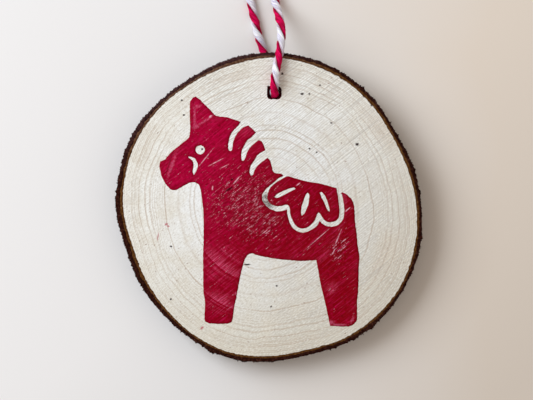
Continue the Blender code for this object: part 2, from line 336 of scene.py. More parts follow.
def floor_material():
    n = Nodes("pale_floor")
    drift = n.noise(n.place((0.02, 0.02, 0.02)), 1.0, 2.0)
    # Painted light: the floor is painted warmer and darker towards the right, and darker towards the
    # lower right, as painted shade away from the window and painted warm room light.
    rightwards, upwards = n.across_and_along(n.place((1 / 130, 1 / 130, 0.0)))
    painted_warm_falloff = n.plus(rightwards, n.times(drift, 0.3))
    painted_shade = n.math("SUBTRACT", n.times(rightwards, 0.8), upwards)
    colour = n.ramp(painted_warm_falloff, [(0.0, (0.78, 0.765, 0.76)), (0.6, (0.72, 0.635, 0.55))])
    painted_shade = n.ramp(painted_shade, [(0.0, 1.0), (0.75, 0.86)])
    colour = n.mix(1.0, colour, painted_shade, "MULTIPLY")
    return n.finish(colour, 0.7, 0.2)


# ---------------- twine

# Routes from the swing axis, as the CAD has them: x and y across the surface, z above it.
FRONT_ROUTE = [
    (0.0, -0.6, 6.46), (0.0, -0.65, 7.46), (0.0, -0.4, 9.08), (0.0, 0.46, 10.48),
    (0.05, 1.78, 11.45), (0.15, 3.37, 11.84), (0.4, 5.2, 11.8), (0.8, 7.3, 11.65),
    (1.25, 9.3, 11.6), (1.6, 11.4, 11.45), (1.75, 13.4, 10.8), (1.8, 15.4, 9.5),
    (1.6, 17.4, 7.7), (1.25, 19.4, 5.7), (0.75, 21.6, 3.75), (0.15, 24.2, 2.2),
    (-0.5, 27.2, 1.3), (-0.8, 30.5, 1.05), (-0.6, 35.0, 1.05), (0.1, 40.0, 1.05),
    (0.9, 45.0, 1.05), (1.3, 50.0, 1.05), (0.9, 55.0, 1.05), (-0.7, 60.0, 1.15),
    (-3.0, 64.4, 1.8), (-4.5, 67.6, 2.7),
]
BACK_ROUTE = [
    (0.0, -0.6, 6.16), (0.0, -0.55, 5.16), (-0.05, -0.16, 3.57), (-0.1, 0.8, 2.25),
    (-0.3, 2.2, 1.4), (-0.55, 3.82, 1.15), (-0.95, 6.0, 1.05), (-1.6, 8.2, 1.05),
    (-2.3, 10.1, 1.05), (-3.0, 12.0, 1.05), (-4.2, 15.6, 1.05), (-5.1, 19.7, 1.05),
    (-6.0, 23.5, 1.05), (-7.4, 28.0, 1.05), (-9.2, 33.0, 1.05), (-10.9, 38.0, 1.05),
    (-12.0, 43.0, 1.05), (-12.3, 48.0, 1.05), (-11.8, 53.0, 1.05), (-10.4, 58.0, 1.15),
    (-8.4, 63.5, 1.8), (-7.0, 67.6, 2.7),
]
KNOT_AT = Vector((-5.75, 72.6, 3.0))
TAIL_ROUTES = {
    "twine_tail_a": [(-4.5, 77.6, 2.7), (-3.7, 80.0, 1.7), (-2.8, 83.0, 1.1), (-2.0, 88.5, 1.05)],
    "twine_tail_b": [(-7.0, 77.6, 2.7), (-8.1, 80.0, 1.7), (-9.4, 83.0, 1.1), (-10.6, 86.5, 1.05)],
}
TWIST_PITCH = 8.2
BACK_TWIST_PITCH = 9.2
MOUTH_SWELL = 0.2
PLY_OFFSET = 0.45
PLY_THICK = 0.53
PLY_WIDE = 0.88
PLY_STEP = 0.2
PLY_SIDES = 28
PLY_SQUARENESS = 2.4
FIBRE_SPIN = 0.35
HAIR_RADIUS = 0.022
HAIRS_PER_MM = 7.0
TUFT_HAIRS = 52

# Each run's route, the way its red ply faces at the hole, its twist's pitch, how much fuller its
# plies start, and the height of its mouth on the slice.
RUNS = {
    "twine_front_run": (
        FRONT_ROUTE, Vector((0.57, -0.82, -0.06)), TWIST_PITCH, MOUTH_SWELL, THICKNESS),
    "twine_back_run": (BACK_ROUTE, Vector((0.88, 0.47, 0.01)), BACK_TWIST_PITCH, 0.0, 0.0),
}

# The knot's centreline between its two strands, from its middle. The knot lies KNOT_DROP below
# its CAD middle, and its strands lie STRAND_APART from the centreline, further at its ends.
KNOT_ROUTE = [
    (0.0, -5.0, 0.3), (-0.75, -3.7, -0.2), (-0.9, -2.3, -0.9), (1.3, 0.0, 1.0), (2.7, 2.1, 0.5),
    (1.4, 3.3, -0.2), (-1.3, 2.3, -0.95), (-2.7, 0.0, 0.0), (-1.3, -2.3, 1.0), (1.4, -3.3, 0.5),
    (2.7, -2.1, -0.3), (1.3, 0.0, -1.0), (-0.9, 2.3, 0.95), (-0.75, 3.7, 0.6), (0.0, 5.0, 0.3),
]
KNOT_DROP = 0.55
STRAND_APART = 0.86
STRANDS_SPREAD = 0.39


def ply_material(name, furrow_shade, dark, light, sheen):
    """Combed cotton: streaks along the fibres, and painted shade in the furrows between the plies."""
    n = Nodes(name)
    fibre = n.attribute("fibre", as_vector=True)
    streak = n.noise(n.scaled(fibre, (2.1, 2.1, 0.3)), 1.0, 3.0, 0.7)
    patch = n.noise(n.scaled(fibre, (0.8, 0.8, 0.5)), 1.0, 2.0)
    share = n.plus(n.times(streak, 0.75), n.times(patch, 0.35))
    colour = n.mix(n.rising(share, 0.46, 0.60), dark, light)
    # Painted shade: each ply is darkened where it turns in towards the other, in the furrow between
    # them.
    furrow = n.ramp(n.attribute("furrow"), [(0.25, 1.0), (0.8, 0.0)])
    colour = n.mix(n.times(furrow, 0.75), colour, furrow_shade)
    normal = n.bump(streak, 0.3)
    n.shader.inputs["Sheen Weight"].default_value = sheen
    n.shader.inputs["Sheen Roughness"].default_value = 0.5
    return n.finish(colour, 0.9, 0.04, normal)


def path_frames(points, across=None):
    """For each point of a path: the point, two directions across it that don't spin, ahead."""
    frames = []
    for k, point in enumerate(points):
        ahead = points[min(k + 1, len(points) - 1)] - points[max(k - 1, 0)]
        ahead.normalize()
        if across is None:
            across = ahead.orthogonal().normalized()
        across = (across - ahead * across.dot(ahead)).normalized()
        frames.append((point, across, ahead.cross(across), ahead))
    return frames


class Twine:
    """The points and faces of a piece of two-ply twine while it is being made."""

    def __init__(self, seed):
        self.points, self.faces, self.slots = [], [], []
        self.fibre, self.furrow = [], []
        self.chance = random.Random(seed)

    def add_tube(self, rings, ply, fibres, furrows):
        """A closed tube through rings of points."""
        first, sides = len(self.points), len(rings[0])
        for ring, fibre, furrow in zip(rings, fibres, furrows):
            self.points += ring
            self.fibre += fibre
            self.furrow += furrow
        for k in range(len(rings) - 1):
            for j in range(sides):
                a = first + k * sides + j
                b = first + k * sides + (j + 1) % sides
                self.faces.append((a, b, b + sides, a + sides))
        last = first + (len(rings) - 1) * sides
        self.faces.append([first + j for j in reversed(range(sides))])
        self.faces.append([last + j for j in range(sides)])
        self.slots += [ply] * ((len(rings) - 1) * sides + 2)

    def add_hair(self, root, out, ahead, length, rise, ply, thick=HAIR_RADIUS):
        """A loose fibre that leaves the twine at root and bends outwards."""
        if (root + ahead * length + out * rise).z < 0.1:
            return
        side = out.cross(ahead).normalized()
        sway = self.chance.uniform(-0.5, 0.5) * length
        rings = []
        for k in range(4):
            share = k / 3
            at = root + ahead * length * share + out * rise * share**1.6 + side * sway * share**2
            wide = thick * (1 - 0.55 * share)
            ring = []
            for corner in range(3):
                turn = 2 * math.pi * corner / 3
                ring.append(at + out * wide * math.cos(turn) + side * wide * math.sin(turn))
            rings.append(ring)
        tint = (self.chance.uniform(0, 9), 0.0, 0.0)
        self.add_tube(rings, ply, [[tint] * 3] * 4, [[1.0] * 3] * 4)


def ply_ring(centre, out, side, swell, walked, ply):
    """A ply's ring of points, each point's place along the fibres, and how far it stands out."""
    ring, fibre, furrow = [], [], []
    for j in range(PLY_SIDES):
        turn = 2 * math.pi * j / PLY_SIDES
        cos, sin = math.cos(turn), math.sin(turn)
        full = (abs(cos) ** PLY_SQUARENESS + abs(sin) ** PLY_SQUARENESS) ** (-1 / PLY_SQUARENESS)
        spun = turn + FIBRE_SPIN * walked
        yarn = noise_at(2.6 * math.cos(spun), 2.6 * math.sin(spun), walked * 0.25 + 50 * ply)
        reach = full * swell * (1 + 0.15 * yarn)
        across_ply = out * cos * PLY_THICK * reach + side * sin * PLY_WIDE * reach
        ring.append(centre + across_ply)
        fibre.append((2 * math.cos(spun), 2 * math.sin(spun), walked + 50.0 * ply))
        furrow.append(min(1.0, max(0.0, (PLY_OFFSET + PLY_THICK * full * cos) / 0.75)))
    return ring, fibre, furrow


def add_fuzz(twine, point, ring, side, ahead, ply):
    """Loose fibres that leave a ply at one of its rings, but not those on its underside."""
    hairs = HAIRS_PER_MM * PLY_STEP / 2
    for _ in range(int(hairs) + (twine.chance.random() < hairs % 1)):
        root = ring[twine.chance.randrange(PLY_SIDES)]
        away = (root - point).normalized()
        bend = ahead * twine.chance.choice((-1, 1)) + side * twine.chance.uniform(-1, 1)
        length, rise = twine.chance.uniform(0.3, 0.9), twine.chance.uniform(0.05, 0.38)
        if away.z > -0.2:
            twine.add_hair(root - away * 0.05, away, bend.normalized(), length, rise, ply)


def add_strand(twine, points, red_side, pitch=TWIST_PITCH, size=1.0, fuller=0.0):
    """Two plies pressed together and laid round each other along a path.

    red_side is the way the first ply faces at the start, and its way at the end is returned.
    The lay opens where the twine rises or drops, and the plies are fuller by a share at its start.
    """
    frames = path_frames(points)
    _, across, up, _ = frames[0]
    start = math.atan2(red_side.dot(up), red_side.dot(across))
    facing = []
    for ply in range(2):
        rings, fibres, furrows = [], [], []
        walked = level = 0.0
        for k, (point, across, up, ahead) in enumerate(frames):
            if k:
                step = point - frames[k - 1][0]
                walked += step.length
                level += step.xy.length**1.5 / step.length**0.5
            lay = start - 2 * math.pi * level / pitch + math.pi * ply
            out = across * math.cos(lay) + up * math.sin(lay)
            side = up * math.cos(lay) - across * math.sin(lay)
            wander = 0.03 * noise_at(walked * 0.35, 7.3 * ply, start)
            swell = size * (1.0 + 0.05 * noise_at(walked * 0.5, 3.1 * ply + 40, start))
            swell *= 1.0 + fuller * math.exp(-((walked / 3.2) ** 2))
            centre = point + out * (PLY_OFFSET * size + wander)
            ring, fibre, furrow = ply_ring(centre, out, side, swell, walked, ply)
            rings.append(ring)
            fibres.append(fibre)
            furrows.append(furrow)
            if 0 < k < len(frames) - 1:
                add_fuzz(twine, point, ring, side, ahead, ply)
        twine.add_tube(rings, ply, fibres, furrows)
        facing.append(out)
    return facing[0]


def add_tuft(twine, points):
    """The cut end of a tail, its fibres opened like a brush."""
    point, across, up, ahead = path_frames(points)[-1]
    for k in range(TUFT_HAIRS):
        ply = k % 2
        turn = twine.chance.uniform(0, 2 * math.pi)
        away = across * math.cos(turn) + up * math.sin(turn)
        root = point + away * twine.chance.uniform(0.1, 0.85) - ahead * 0.15
        length, rise = twine.chance.uniform(0.6, 1.5), twine.chance.uniform(0.0, 0.4)
        if root.z + away.z * rise > 0.2:
            twine.add_hair(root, away, ahead, length, rise, ply, 0.05)


def finish_twine(twine, name, materials):
    above = [Vector((p.x, p.y, max(p.z, 0.01))) for p in twine.points]
    fields = {"fibre": twine.fibre, "furrow": twine.furrow}
    piece = make_piece(name, above, twine.faces, materials, twine.slots, fields)
    finish_piece(piece, "twine", "twine")
    return piece


def route_in_frame(route):
    return [p + SWING_AXIS for p in smooth_run(route, PLY_STEP)]


def make_knot(materials, red_sides):
    """An overhand knot tied in both ends together: two strands side by side along one path."""
    middle = KNOT_AT + SWING_AXIS - Vector((0, 0, KNOT_DROP))
    line = [p + middle for p in smooth_run(KNOT_ROUTE, PLY_STEP)]
    twine = Twine("knot")
    frames = path_frames(line, Vector((1, 0, 0)))
    tail_sides = []
    for side, red_side in zip((1, -1), red_sides):
        strand = []
        for k, (point, across, _, _) in enumerate(frames):
            end = min(k, len(frames) - 1 - k) * PLY_STEP
            apart = STRAND_APART + STRANDS_SPREAD * math.exp(-((end / 1.3) ** 2))
            strand.append(point + across * apart * side)
        tail_sides.append(add_strand(twine, strand, red_side, size=0.9))
    knot = finish_twine(twine, "overhand_knot", materials)
    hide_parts("twine_knot")
    return knot, tail_sides


def make_twine():
    # The first colour of each ply is the painted shade in the furrows between the plies.
    red = ply_material(
        "twine_red", (0.20, 0.001, 0.015), (0.30, 0.001, 0.024), (0.80, 0.004, 0.105), 0.0)
    white = ply_material(
        "twine_white", (0.60, 0.40, 0.50), (0.52, 0.48, 0.70), (1.0, 0.985, 1.0), 0.05)
    materials = [red, white]
    made, red_sides = [], []
    for name, (route, red_side, pitch, fuller, mouth_height) in RUNS.items():
        points = route_in_frame(route)
        twine = Twine(name)
        red_sides.append(add_strand(twine, points, red_side, pitch, fuller=fuller))
        made.append((name, finish_twine(twine, name + "_plies", materials), points, mouth_height))
    knot, tail_sides = make_knot(materials, red_sides)
    for (name, route), red_side in zip(TAIL_ROUTES.items(), tail_sides):
        points = route_in_frame(route)
        twine = Twine(name)
        add_strand(twine, points, red_side)
        add_tuft(twine, points)
        tail = finish_twine(twine, name + "_plies", materials)
        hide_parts(name)
    for name, run, points, mouth_height in made:
        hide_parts(name)


# ---------------- outlines from the frame


def flat_loops(node, height):
    """The loops round a node's flat face at a height of the slice's own, the longest one first."""
    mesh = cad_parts[node].data
    index, points = {}, []
    name_of = []
    for vertex in mesh.vertices:
        at = FLATTEN @ (vertex.co / MM)
        key = (round(at.x, 2), round(at.y, 2), round(at.z, 1))
        if key not in index:
            index[key] = len(points)
            points.append(at)
        name_of.append(index[key])
    sides = {}
    for face in mesh.polygons:
        corners = [name_of[k] for k in face.vertices]
        if max(abs(points[k].z - height) for k in corners) > 0.05:
            continue
        for a, b in zip(corners, corners[1:] + corners[:1]):
            sides[(a, b)] = True
    following = {a: b for a, b in sides if (b, a) not in sides}
    loops = []
    while following:
        start, at = following.popitem()
        loop = [start]
        while at != start:
            loop.append(at)
            at = following.pop(at)
        loops.append([points[k].xy for k in loop])
    return sorted(loops, key=loop_length, reverse=True)


def loop_length(loop):
    return sum((b - a).length for a, b in zip(loop, loop[1:] + loop[:1]))


def refined(loop, parts):
    """The loop with each side cut into parts along a smooth curve, its corners kept sharp."""
    count = len(loop)
    corner = []
    for k in range(count):
        before, after = loop[k] - loop[k - 1], loop[(k + 1) % count] - loop[k]
        corner.append(before.angle(after, 0.0) > math.radians(38))
    fine = []
    for k in range(count):
        start, end = loop[k], loop[(k + 1) % count]
        before = 2 * start - end if corner[k] else loop[k - 1]
        after = 2 * end - start if corner[(k + 1) % count] else loop[(k + 2) % count]
        fine += [catmull_rom(before, start, end, after, part / parts) for part in range(parts)]
    return fine


def ragged(loop, size, grain, seed, grown=0.0):
    """The loop grown by a distance and roughened by noise of a size, in lumps of a grain."""
    moved = []
    for k, at in enumerate(loop):
        along = (loop[(k + 1) % len(loop)] - loop[k - 1]).normalized()
        push = grown + size * noise_at(at.x / grain, at.y / grain, seed)
        moved.append(at + Vector((along.y, -along.x)) * push)
    return moved


def is_inside(point, loops):
    """Whether a point is within the rim and in none of its holes, by counting crossings."""
    crossings = np.zeros(len(point), int)
    for loop in loops:
        a = np.array(loop)
        b = np.roll(a, -1, axis=0)
        for (ax, ay), (bx, by) in zip(a, b):
            spans = (ay > point[:, 1]) != (by > point[:, 1])
            if ay != by:
                left = point[:, 0] < ax + (point[:, 1] - ay) * (bx - ax) / (by - ay)
                crossings += spans & left
    return crossings % 2 == 1


def filled(loops, spacing, seed):
    """Points and triangles that fill a rim less its holes, and where each loop's points went."""
    chance = random.Random(seed)
    rim = np.array(loops[0])
    low, high = rim.min(axis=0), rim.max(axis=0)
    grid = []
    y = low[1]
    row = 0
    while y < high[1]:
        x = low[0] + (row % 2) * spacing / 2
        while x < high[0]:
            jitter = (chance.uniform(-0.2, 0.2), chance.uniform(-0.2, 0.2))
            grid.append((x + jitter[0] * spacing, y + jitter[1] * spacing))
            x += spacing
        y += spacing * 0.866
        row += 1
    grid = np.array(grid)
    grid = grid[is_inside(grid, loops)]
    edge = np.vstack(loops)
    near = np.array([np.min(np.sum((edge - g) ** 2, axis=1)) for g in grid]) ** 0.5
    grid = grid[near > 0.45 * spacing]
    sides, starts, points = [], [], []
    for loop in loops:
        first = len(points)
        starts.append(range(first, first + len(loop)))
        points += [Vector(p) for p in loop]
        sides += [(first + k, first + (k + 1) % len(loop)) for k in range(len(loop))]
    points += [Vector(p) for p in grid]
    flat, _, faces, origins, *_ = delaunay_2d_cdt(points, sides, [], 0, 1e-5)
    now_at = {old: new for new, olds in enumerate(origins) for old in olds}
    middles = np.array([sum((flat[k] for k in face), Vector((0, 0))) / 3 for face in faces])
    kept = [face for face, inside in zip(faces, is_inside(middles, loops)) if inside]
    return flat, kept, [[now_at[k] for k in loop] for loop in starts]


def slab(faces, count, walled):
    """The faces of a slab: its top, its base count points on, and a wall down each walled loop."""
    solid = list(faces) + [[k + count for k in reversed(face)] for face in faces]
    for loop in walled:
        solid += [(a, a + count, b + count, b) for a, b in zip(loop, loop[1:] + loop[:1])]
    return solid


# ---------------- wood

WOOD_RIM, HOLE_RIM = flat_loops("wood_disc", THICKNESS)[:2]
RIM_SPOKES = sorted((math.atan2(*reversed(p - PITH)), (p - PITH).length) for p in WOOD_RIM)
SPOKE_ANGLES, SPOKE_LENGTHS = zip(*RIM_SPOKES)
MEAN_RADIUS = 37.2


def ring_at(x, y):
    """How far out a point lies among the growth rings: round at the pith, rim-shaped outside."""
    dx, dy = x - PITH.x, y - PITH.y
    radius = math.hypot(dx, dy)
    reach = float(np.interp(
        math.atan2(dy, dx), SPOKE_ANGLES, SPOKE_LENGTHS, period=2 * math.pi))
    share = radius / reach
    pull = smoothstep(0.2, 1.0, share)
    return radius * (1 - pull) + share * MEAN_RADIUS * pull


def wood_relief(x, y):
    """The sawn face's height over its mean: saw marks, ridges of latewood and a dip at the pith."""
    turn = math.radians(SAW_TURN)
    across = y * math.cos(turn) - x * math.sin(turn)
    along = x * math.cos(turn) + y * math.sin(turn)
    saw = 0.016 * noise_at(across * 1.1, along * 0.05, 3.0, 2)
    ring = 0.012 * noise_at(ring_at(x, y) * 0.9, 0.0, 9.0, 2)
    pith = math.hypot(x - PITH.x, y - PITH.y)
    return saw + ring - 0.12 * math.exp(-((pith / 0.5) ** 2))


# Latewood lines: the radius among the growth rings, half the line's width, how dark it is.
INNER_RINGS = [
    (2.6, 0.5, 0.3), (6.1, 0.4, 0.25), (9.5, 0.5, 0.3), (12.2, 0.3, 0.25), (14.4, 0.2, 0.55),
    (16.7, 0.22, 0.7), (18.7, 0.17, 0.9), (19.8, 0.18, 0.65), (22.9, 0.24, 0.45),
]
OUTER_RINGS = [
    (26.7, 0.2, 0.9), (29.2, 0.12, 0.5), (30.5, 0.13, 0.7), (31.6, 0.14, 0.8), (33.2, 0.16, 0.9),
    (34.2, 0.12, 0.6), (35.3, 0.13, 0.9), (36.3, 0.1, 0.7),
]
# Dark specks, then stains, as marks on the sawn face.
SPECKS = [
    (1.8, -19.7, 0.28, 0.22, 0), (0.4, -25.0, 0.26, 0.2, 30), (-24.9, -9.7, 0.3, 0.22, 0),
    (-25.0, -23.1, 0.28, 0.22, 60), (22.1, 16.1, 0.42, 0.34, 20), (8.2, 28.8, 0.4, 0.28, 0),
    (10.0, 28.8, 0.24, 0.2, 0), (3.2, 33.9, 0.28, 0.28, 0), (-21.6, 23.5, 0.26, 0.22, 0),
    (-22.1, 27.2, 0.26, 0.22, 0), (15.6, 21.5, 0.3, 0.2, 0), (10.1, 15.0, 0.26, 0.2, 0),
    (11.9, 14.1, 0.24, 0.2, 0), (12.7, 31.0, 0.26, 0.2, 0), (25.7, 25.9, 0.28, 0.22, 0),
    (-5.65, -14.3, 0.85, 0.2, 0), (-17.0, 14.9, 0.27, 0.25, 0),
]
PITH_STAIN = [(-0.5, 1.8, 1.5, 2.1, 30)]
BROWN_PATCHES = [
    (-8.0, 33.0, 3.6, 1.0, 16), (3.6, 31.0, 1.2, 3.2, -35), (28.0, 20.0, 2.4, 6.0, 35),
    (29.5, -12.0, 2.2, 7.0, -22),
]
STRAY_INK = [
    (-26.1, -4.1, 0.42, 0.3, 30), (-25.6, -4.6, 0.3, 0.24, 0), (-28.2, -7.2, 0.14, 0.95, -8),
    (-17.1, -30.4, 0.5, 0.28, 50),
]


def ring_lines(n, ring, lines):
    """The rings' darkness by radius, from lines of a radius, half width and darkness."""
    start = lines[0][0] - 2 * lines[0][1]
    span = lines[-1][0] + 2 * lines[-1][1] - start
    stops = []
    for radius, half_width, darkness in lines:
        at = (radius - start) / span
        stops += [
            (at - 1.6 * half_width / span, 0.0), (at, darkness), (at + half_width / span, 0.0),
        ]
    return n.ramp(n.math("DIVIDE", n.math("SUBTRACT", ring, start), span), stops)


def wood_material():
    n = Nodes("sawn_wood")
    wobble = n.mottle(0.10, 3.0, 0.55)
    wobble = n.times(n.math("SUBTRACT", wobble, 0.5), 2.2)
    ring = n.plus(n.attribute("ring"), wobble)
    lines = n.math("MAXIMUM", ring_lines(n, ring, INNER_RINGS), ring_lines(n, ring, OUTER_RINGS))
    fine = n.rising(n.noise(ring, 2.3, 3.0, 0.8, one_way=True), 0.53, 0.59)
    outer = n.ramp(n.math("DIVIDE", ring, 40.0), [(0.45, 0.12), (0.9, 1.0)])
    patches = n.ramp(n.mottle(0.09), [(0.36, 0.45), (0.60, 1.0)])
    lines = n.times(lines, patches)
    fine = n.times(n.times(fine, outer), patches)
    lines = n.math("MAXIMUM", lines, n.times(fine, 0.6))
    ground = n.mix(outer, (0.88, 0.90, 0.91), (0.855, 0.855, 0.80))
    # Painted shade: the bare wood is painted darker and warmer towards the bottom and right, away
    # from the window.
    downwards, _ = n.across_and_along(n.flat((1 / 80, 1 / 80, 0.0), 60.0))
    painted_shade = n.ramp(n.plus(downwards, 0.4), [(0.24, 1.0), (0.8, (0.75, 0.715, 0.65))])
    ground = n.mix(1.0, ground, painted_shade, "MULTIPLY")
    cloud = n.mottle(0.22, 4.0, 0.6)
    ground = n.mix(n.rising(cloud, 0.42, 0.66, 0.6), ground, (0.70, 0.655, 0.55))
    brown = n.times(n.marks(BROWN_PATCHES, 0.5, 1.2), 0.3)
    ground = n.mix(brown, ground, (0.58, 0.44, 0.31))
    colour = n.mix(lines, ground, (0.45, 0.335, 0.24))
    rightwards, _ = n.across_and_along(n.flat((1 / 120, 1 / 120, 0.0), -35.0))
    where = n.plus(n.mottle(0.07, 2.0), rightwards)
    where = n.ramp(where, [(0.36, 0.25), (0.62, 1.0)])
    saw = n.strokes(0.05, 2.0, 3.0, 0.7)
    _, row = n.across_and_along(n.flat((1.0, 2 * math.pi / SAW_PITCH, 1.0), -SAW_TURN))
    drift = n.times(n.strokes(0.05, 0.6, 2.0), 14.0)
    comb = n.math("SINE", n.plus(row, drift))
    comb = n.times(n.math("MAXIMUM", comb, 0.0), where)
    colour = n.mix(n.times(comb, 0.7), colour, (0.47, 0.45, 0.41))
    scratch = n.times(n.rising(saw, 0.55, 0.66), where)
    colour = n.mix(n.times(scratch, 0.55), colour, (0.44, 0.41, 0.37))
    grain = n.strokes(1.5, 3.2, 4.0, 0.8)
    colour = n.mix(n.rising(grain, 0.50, 0.64, 0.6), colour, (0.48, 0.43, 0.37))
    colour = n.mix(n.ramp(grain, [(0.32, 0.6), (0.48, 0.0)]), colour, (0.94, 0.945, 0.95))
    flecks = n.rising(n.mottle(1.9, 1.0), 0.71, 0.78, 0.8)
    colour = n.mix(flecks, colour, (0.30, 0.20, 0.15))
    mould = n.ramp(n.mottle(1.6, 3.0, 0.7), [(0.36, 0.25), (0.56, 1.0)])
    pith = n.times(n.marks(PITH_STAIN, 0.5, 0.8), mould)
    colour = n.mix(n.times(pith, 0.9), colour, (0.09, 0.06, 0.045))
    colour = n.mix(n.marks(SPECKS, 0.25), colour, (0.045, 0.03, 0.028))
    colour = n.mix(n.times(n.marks(STRAY_INK, 0.2), 0.75), colour, (0.42, 0.06, 0.09))
    normal = n.bump(saw, 0.04, 0.8)
    normal = n.bump(comb, 0.012, 0.8, normal)
    normal = n.bump(grain, 0.025, 0.7, normal)
    return n.finish(colour, 0.82, 0.15, normal)


def bore_material():
    """The hole's wall: torn fibres, painted near black as painted shade inside the hole, with a red
    tinge as in the photo.
    """
    n = Nodes("drilled_bore")
    torn = n.noise(n.place((1.5, 1.5, 0.5)), 1.0, 4.0, 0.65)
    share = n.rising(torn, 0.4, 0.7)
    # Painted shade: the wall's colours are near black.
    colour = n.mix(share, (0.02, 0.002, 0.003), (0.10, 0.010, 0.014))
    return n.finish(colour, 0.95, 0.0, n.bump(torn, 0.2))


# The bore's wall between its mouths: depth, and how far torn fibres close it in, from 0 to 1.
BORE_RINGS = [(0.35, 0.25), (1.0, 0.9), (1.8, 1.0), (4.5, 0.9), (6.3, 0.4)]
TORN_RADIUS = 1.3
RIM_GROWTH = 1.003
WOOD_SPACING = 0.5
WOOD_SEED = 4


def square_off(loop):
    """The hole's mouth as the drill tore it: squarish, with a notch at its upper left."""
    middle = sum(loop, Vector((0, 0))) / len(loop)
    torn = []
    for at in loop:
        spoke = at - middle
        angle = math.degrees(math.atan2(spoke.y, spoke.x))
        push = 0.22 * math.cos(math.radians(angle)) ** 2 - 0.16 * math.cos(math.radians(4 * angle))
        push += 0.28 * math.exp(-(((angle - 137) / 10) ** 2))
        torn.append(middle + spoke * (1 + push / spoke.length))
    return torn


def make_wood():
    rim = ragged([p * RIM_GROWTH for p in refined(WOOD_RIM, 8)], 0.16, 0.8, 2.0)
    hole = ragged(square_off(refined(HOLE_RIM, 4)), 0.12, 0.5, 5.0)
    flat, faces, loops = filled([rim, hole], WOOD_SPACING, WOOD_SEED)
    top = [Vector((p.x, p.y, THICKNESS + wood_relief(p.x, p.y))) for p in flat]
    base = [Vector((p.x, p.y, 0.02 * noise_at(p.x * 0.8, p.y * 0.8, 30.0))) for p in flat]
    count = len(flat)
    rim_loop, hole_loop = loops
    solid = slab(faces, count, [rim_loop])
    finishes = [0] * len(solid)
    wall = [hole_loop]
    middle = sum((flat[k] for k in hole_loop), Vector((0, 0))) / len(hole_loop)
    fibres = []
    for depth, narrowed in BORE_RINGS:
        wall.append(range(2 * count + len(fibres), 2 * count + len(fibres) + len(hole_loop)))
        for k in hole_loop:
            spoke = flat[k] - middle
            torn = narrowed * (1.0 + 0.12 * noise_at(flat[k].x * 2.2, flat[k].y * 2.2, depth))
            reach = spoke.length * (1 - torn) + TORN_RADIUS * torn
            at = middle + spoke.normalized() * reach
            fibres.append(Vector((at.x, at.y, THICKNESS - depth)))
    wall.append([k + count for k in hole_loop])
    for upper, lower in zip(wall, wall[1:]):
        for k in range(len(hole_loop)):
            following = (k + 1) % len(hole_loop)
            solid.append((upper[k], lower[k], lower[following], upper[following]))
            finishes.append(1)
    everywhere = top + base + fibres
    fields = {"ring": [ring_at(p.x, p.y) for p in everywhere], "flat": everywhere}
    points = [SLICE @ p for p in everywhere]
    finish = [wood_material(), bore_material()]
    wood = make_piece("sawn_slice", points, solid, finish, finishes, fields)
    wood.data.set_sharp_from_angle(angle=math.radians(50))
    finish_piece(wood, "slice", "wood", "wood_disc")


# ---------------- bark

BARK_STEPS = 1500
BARK_SHOULDER = 0.93
# Crumbs that stand out of the bark: where in degrees, half their width, and how far.
BARK_LUMPS = [
    (71.0, 1.2, 0.30), (65.0, 0.8, 0.25), (247.6, 1.6, 0.45), (260.8, 1.0, 0.3),
    (310.5, 1.4, 0.4), (303.0, 1.0, 0.35), (349.0, 0.9, 0.4), (52.0, 0.8, 0.25),
]
PLATE_COUNT = 46


def plate_at(angle):
    """How far out a plate of bark stands: each rises slowly and ends in a small step."""
    share = (angle / (2 * math.pi)) % 1.0 * PLATE_COUNT
    share += 0.9 * noise_at(3 * math.cos(angle), 3 * math.sin(angle), 17.0)
    height = 0.5 + 0.5 * noise_at(math.floor(share) * 3.7, 0.5, 21.0)
    return 0.22 * height * (share % 1.0) ** 1.5


def lump_at(angle):
    degrees = math.degrees(angle) % 360
    return sum(h * math.exp(-(((degrees - at) / wide) ** 2)) for at, wide, h in BARK_LUMPS)


def bark_material(name, dark, middle, light, weathered, grain):
    """Bark in three tones, weathered to a fourth towards the slice's upper end."""
    n = Nodes(name)
    coarse = n.noise(n.place((grain, grain, grain)), 1.0, 5.0, 0.75)
    flakes = n.noise(n.place((grain * 3, grain * 3, grain * 0.6)), 1.0, 4.0, 0.6)
    share = n.plus(n.times(coarse, 0.6), n.times(flakes, 0.4))
    colour = n.mix(n.rising(share, 0.38, 0.55), dark, middle)
    colour = n.mix(n.rising(share, 0.54, 0.64), colour, light)
    leftwards, upwards = n.across_and_along(n.place((-1 / 90, 1 / 45, 0.0)))
    upper = n.rising(n.plus(upwards, leftwards), 0.55, 0.95, 0.7)
    colour = n.mix(upper, colour, n.mix(n.rising(share, 0.40, 0.60), dark, weathered))
    normal = n.bump(coarse, 0.2)
    normal = n.bump(flakes, 0.08, 1.0, normal)
    return n.finish(colour, 0.95, 0.03, normal)


def ring_solid(name, inner, outer, relief, steps, profile, material):
    """A closed ring. inner and outer give radii by angle, relief moves a point outwards."""
    points, faces = [], []
    for k in range(steps):
        angle = 2 * math.pi * k / steps
        low, high = inner(angle), outer(angle)
        spoke = Vector((math.cos(angle), math.sin(angle), 0))
        for across, up, out_share, up_share in profile:
            at = spoke * (low + across * (high - low)) + Vector((0, 0, up * THICKNESS))
            push = relief(at, across, up)
            points.append(SLICE @ (at + (spoke * out_share + Vector((0, 0, up_share))) * push))
    sides = len(profile)
    for k in range(steps):
        for j in range(sides):
            a, b = k * sides + j, k * sides + (j + 1) % sides
            c, d = (k + 1) % steps * sides + (j + 1) % sides, (k + 1) % steps * sides + j
            faces.append((a, b, c, d))
    return make_piece(name, points, faces, [material])


